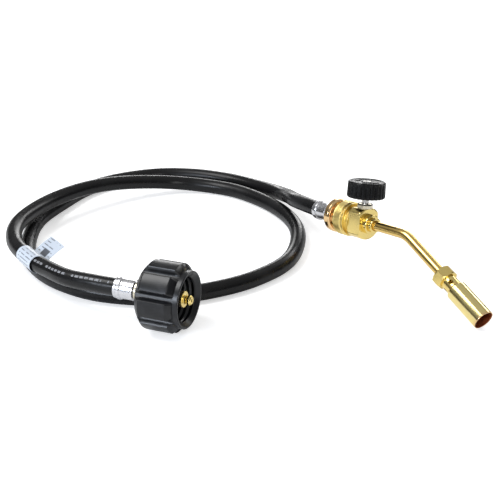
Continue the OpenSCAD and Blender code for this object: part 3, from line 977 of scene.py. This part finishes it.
# %% Finishes for the CAD nodes
def steel_finish(name, color, roughness):
    f = Finish(name, color, roughness, metallic=1.0)
    cloud = f.noise(300, detail=4).step(0.35, 0.75)
    f.set("Base Color", f.blend(cloud * 0.4, color, tuple(c * 0.7 for c in color)))
    f.set("Roughness", roughness + cloud * 0.12)
    f.bump(f.noise(2200, detail=2), 0.02, strength=0.3)
    return f.material


def soft_finish(name, color, roughness):
    f = Finish(name, color, roughness)
    cloud = f.noise(250, detail=4).step(0.35, 0.75)
    f.set("Base Color", f.blend(cloud, color, tuple(c * 0.8 for c in color)))
    f.set("Roughness", roughness + cloud * 0.1)
    f.bump(f.noise(1500, detail=3), 0.05, strength=0.3)
    return f.material


stem_steel = steel_finish("turned_steel", (0.62, 0.6, 0.58), 0.22)
nickel = steel_finish("nickel_plate", (0.72, 0.66, 0.52), 0.24)
kept = {
    stem_steel: ("valve_stem", "knob_screw"),
    nickel: ("packing_nut", "tank_nipple"),
    steel_finish("spring_wire", (0.5, 0.5, 0.52), 0.3): ("check_spring",),
    steel_finish("sintered_bronze", (0.4, 0.2, 0.09), 0.5): ("inlet_filter", "flame_spreader"),
    brass: ("inlet_probe", "gas_jet"),
    soft_finish("seal_rubber", (0.012, 0.012, 0.013), 0.55): ("inlet_gasket", "stem_o_ring", "hose_tails"),
    soft_finish("white_ptfe", (0.72, 0.7, 0.62), 0.4): ("packing_washer", "flow_check"),
    soft_finish("bushing_plastic", (0.55, 0.46, 0.24), 0.45): ("thermal_bushing",),
}
for finish, nodes in kept.items():
    for node in nodes:
        mesh = frame["nodes"][node].data
        mesh.materials.clear()
        mesh.materials.append(finish)
print("CAD nodes kept:", sum(len(nodes) for nodes in kept.values()))

[tuple(p) for p in hose_line[::4]] + [tuple(hose_line[-1])]

# %% [markdown]
# ## Floor and light
# Polished metal looks like what stands round it. Five soft lights give long pale highlights, and
# a sky that is dim low down and brighter overhead gives the brass its deep golden shades. The
# camera itself sees a plain pale ground.

# %% Studio
FLOOR_HALF = 20


def studio_floor():
    mesh = bpy.data.meshes.new("floor")
    edge = [(-FLOOR_HALF, -FLOOR_HALF, 0), (FLOOR_HALF, -FLOOR_HALF, 0), (FLOOR_HALF, FLOOR_HALF, 0),
            (-FLOOR_HALF, FLOOR_HALF, 0)]
    mesh.from_pydata(edge, [], [(0, 1, 2, 3)])
    floor = bpy.data.objects.new("floor", mesh)
    bpy.context.scene.collection.objects.link(floor)
    paper = Finish("floor_paper", (0.85, 0.85, 0.85), 0.9, specular_ior_level=0.0, emission_strength=0.5)
    seen = paper.node("LightPath", out="Is Camera Ray")
    paper.set("Emission Color", paper.blend(seen, (0, 0, 0), (1, 1, 1)))
    mesh.materials.append(paper.material)


def soft_light(name, at, size, power, color=(1, 1, 1), aim=(-0.1, -0.08, 0.03)):
    lamp = bpy.data.lights.new(name, "AREA")
    lamp.shape, lamp.size, lamp.size_y = "RECTANGLE", *size
    lamp.energy = power
    lamp.color = color
    holder = bpy.data.objects.new(name, lamp)
    holder.location = at
    holder.rotation_mode = "QUATERNION"
    holder.rotation_quaternion = (Vector(aim) - Vector(at)).to_track_quat("-Z", "Y")
    bpy.context.scene.collection.objects.link(holder)


SKY_STOPS = ((0.0, 0.14), (0.1, 0.1), (0.3, 0.16), (0.55, 0.3), (0.9, 0.5))
WHITE = (1, 1, 1, 1)


def studio_sky():
    """Dim low down and brighter overhead; what the camera sees directly is plain white."""
    world = bpy.data.worlds.new("studio")
    bpy.context.scene.world = world
    world.use_nodes = True
    sky = Tree(world.node_tree)
    where = sky.node("TexCoord", out="Generated")
    height = sky.node("SeparateXYZ", None, {0: where}, out="Z")
    levels = sky.node("ValToRGB", {"stops": SKY_STOPS}, {0: height})
    seen = sky.node("LightPath", out="Is Camera Ray")
    shade = sky.node("Mix", {"data_type": "RGBA"}, {0: seen, 6: levels, 7: WHITE}, out=2)
    sky.feed(sky.tree.nodes["Background"].inputs["Color"], shade)


studio_floor()
studio_sky()
soft_light("key", (-0.7, -0.9, 1.6), (0.9, 0.9), 22)
soft_light("front", (1.3, -0.6, 0.7), (0.35, 1.0), 5)
soft_light("low_front", (0.25, -1.6, 0.6), (1.0, 0.3), 18, color=(0.82, 0.89, 1.0))
soft_light("back", (-0.5, 1.4, 0.8), (1.3, 0.3), 7)
soft_light("low_back", (-1.7, 1.25, 0.4), (1.3, 0.4), 9)
bpy.context.scene.view_settings.view_transform = "Standard"
